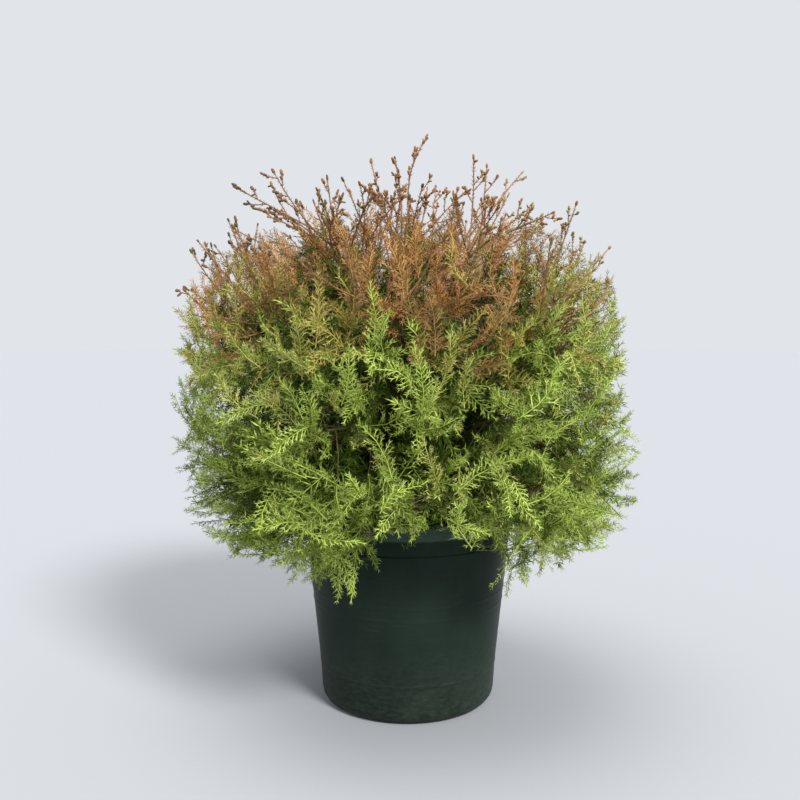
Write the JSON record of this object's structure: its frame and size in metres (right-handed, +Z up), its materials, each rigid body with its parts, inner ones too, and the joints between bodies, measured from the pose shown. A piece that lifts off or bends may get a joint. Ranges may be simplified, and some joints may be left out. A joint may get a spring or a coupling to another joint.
{
  "type": "potted dwarf eastern arborvitae",
  "caption": "Dense globe-shaped dwarf conifer with feathery lime-green foliage and bronze upper shoots, growing in a round dark green nursery pot with a rolled lip.",
  "frame": {"origin": "middle of the pot's flat underside", "axes": "+Z up along the pot's axis, -Y towards the side seen in the picture, +X to the plant's right as seen in the picture"},
  "size_m": [0.2969, 0.2936, 0.3563],
  "materials": {
    "pot_plastic": "satin",
    "growing_medium": "matte",
    "bark": "matte",
    "foliage_skirt": "matte",
    "foliage_waist": "matte",
    "foliage_shoulder": "matte",
    "foliage_top": "matte"
  },
  "bodies": {
    "root": {"pot": "pot_plastic", "growing_medium": "growing_medium", "main_stem": "bark", "bough_skirt_1": "bark", "bough_skirt_2": "bark", "bough_skirt_3": "bark", "bough_skirt_4": "bark", "bough_skirt_5": "bark", "bough_skirt_6": "bark", "bough_skirt_7": "bark", "bough_skirt_8": "bark", "bough_waist_1": "bark", "bough_waist_2": "bark", "bough_waist_3": "bark", "bough_waist_4": "bark", "bough_waist_5": "bark", "bough_waist_6": "bark", "bough_waist_7": "bark", "bough_waist_8": "bark", "bough_shoulder_1": "bark", "bough_shoulder_2": "bark", "bough_shoulder_3": "bark", "bough_shoulder_4": "bark", "bough_shoulder_5": "bark", "bough_shoulder_6": "bark", "bough_shoulder_7": "bark", "bough_top_1": "bark", "bough_top_2": "bark", "bough_top_3": "bark", "bough_top_4": "bark", "foliage_skirt_1": "foliage_skirt", "foliage_skirt_2": "foliage_skirt", "foliage_skirt_3": "foliage_skirt", "foliage_skirt_4": "foliage_skirt", "foliage_skirt_5": "foliage_skirt", "foliage_skirt_6": "foliage_skirt", "foliage_skirt_7": "foliage_skirt", "foliage_skirt_8": "foliage_skirt", "foliage_waist_1": "foliage_waist", "foliage_waist_2": "foliage_waist", "foliage_waist_3": "foliage_waist", "foliage_waist_4": "foliage_waist", "foliage_waist_5": "foliage_waist", "foliage_waist_6": "foliage_waist", "foliage_waist_7": "foliage_waist", "foliage_waist_8": "foliage_waist", "foliage_shoulder_1": "foliage_shoulder", "foliage_shoulder_2": "foliage_shoulder", "foliage_shoulder_3": "foliage_shoulder", "foliage_shoulder_4": "foliage_shoulder", "foliage_shoulder_5": "foliage_shoulder", "foliage_shoulder_6": "foliage_shoulder", "foliage_shoulder_7": "foliage_shoulder", "foliage_top_1": "foliage_top", "foliage_top_2": "foliage_top", "foliage_top_3": "foliage_top", "foliage_top_4": "foliage_top", "foliage_crest": "foliage_top"}
  },
  "joints": []
}
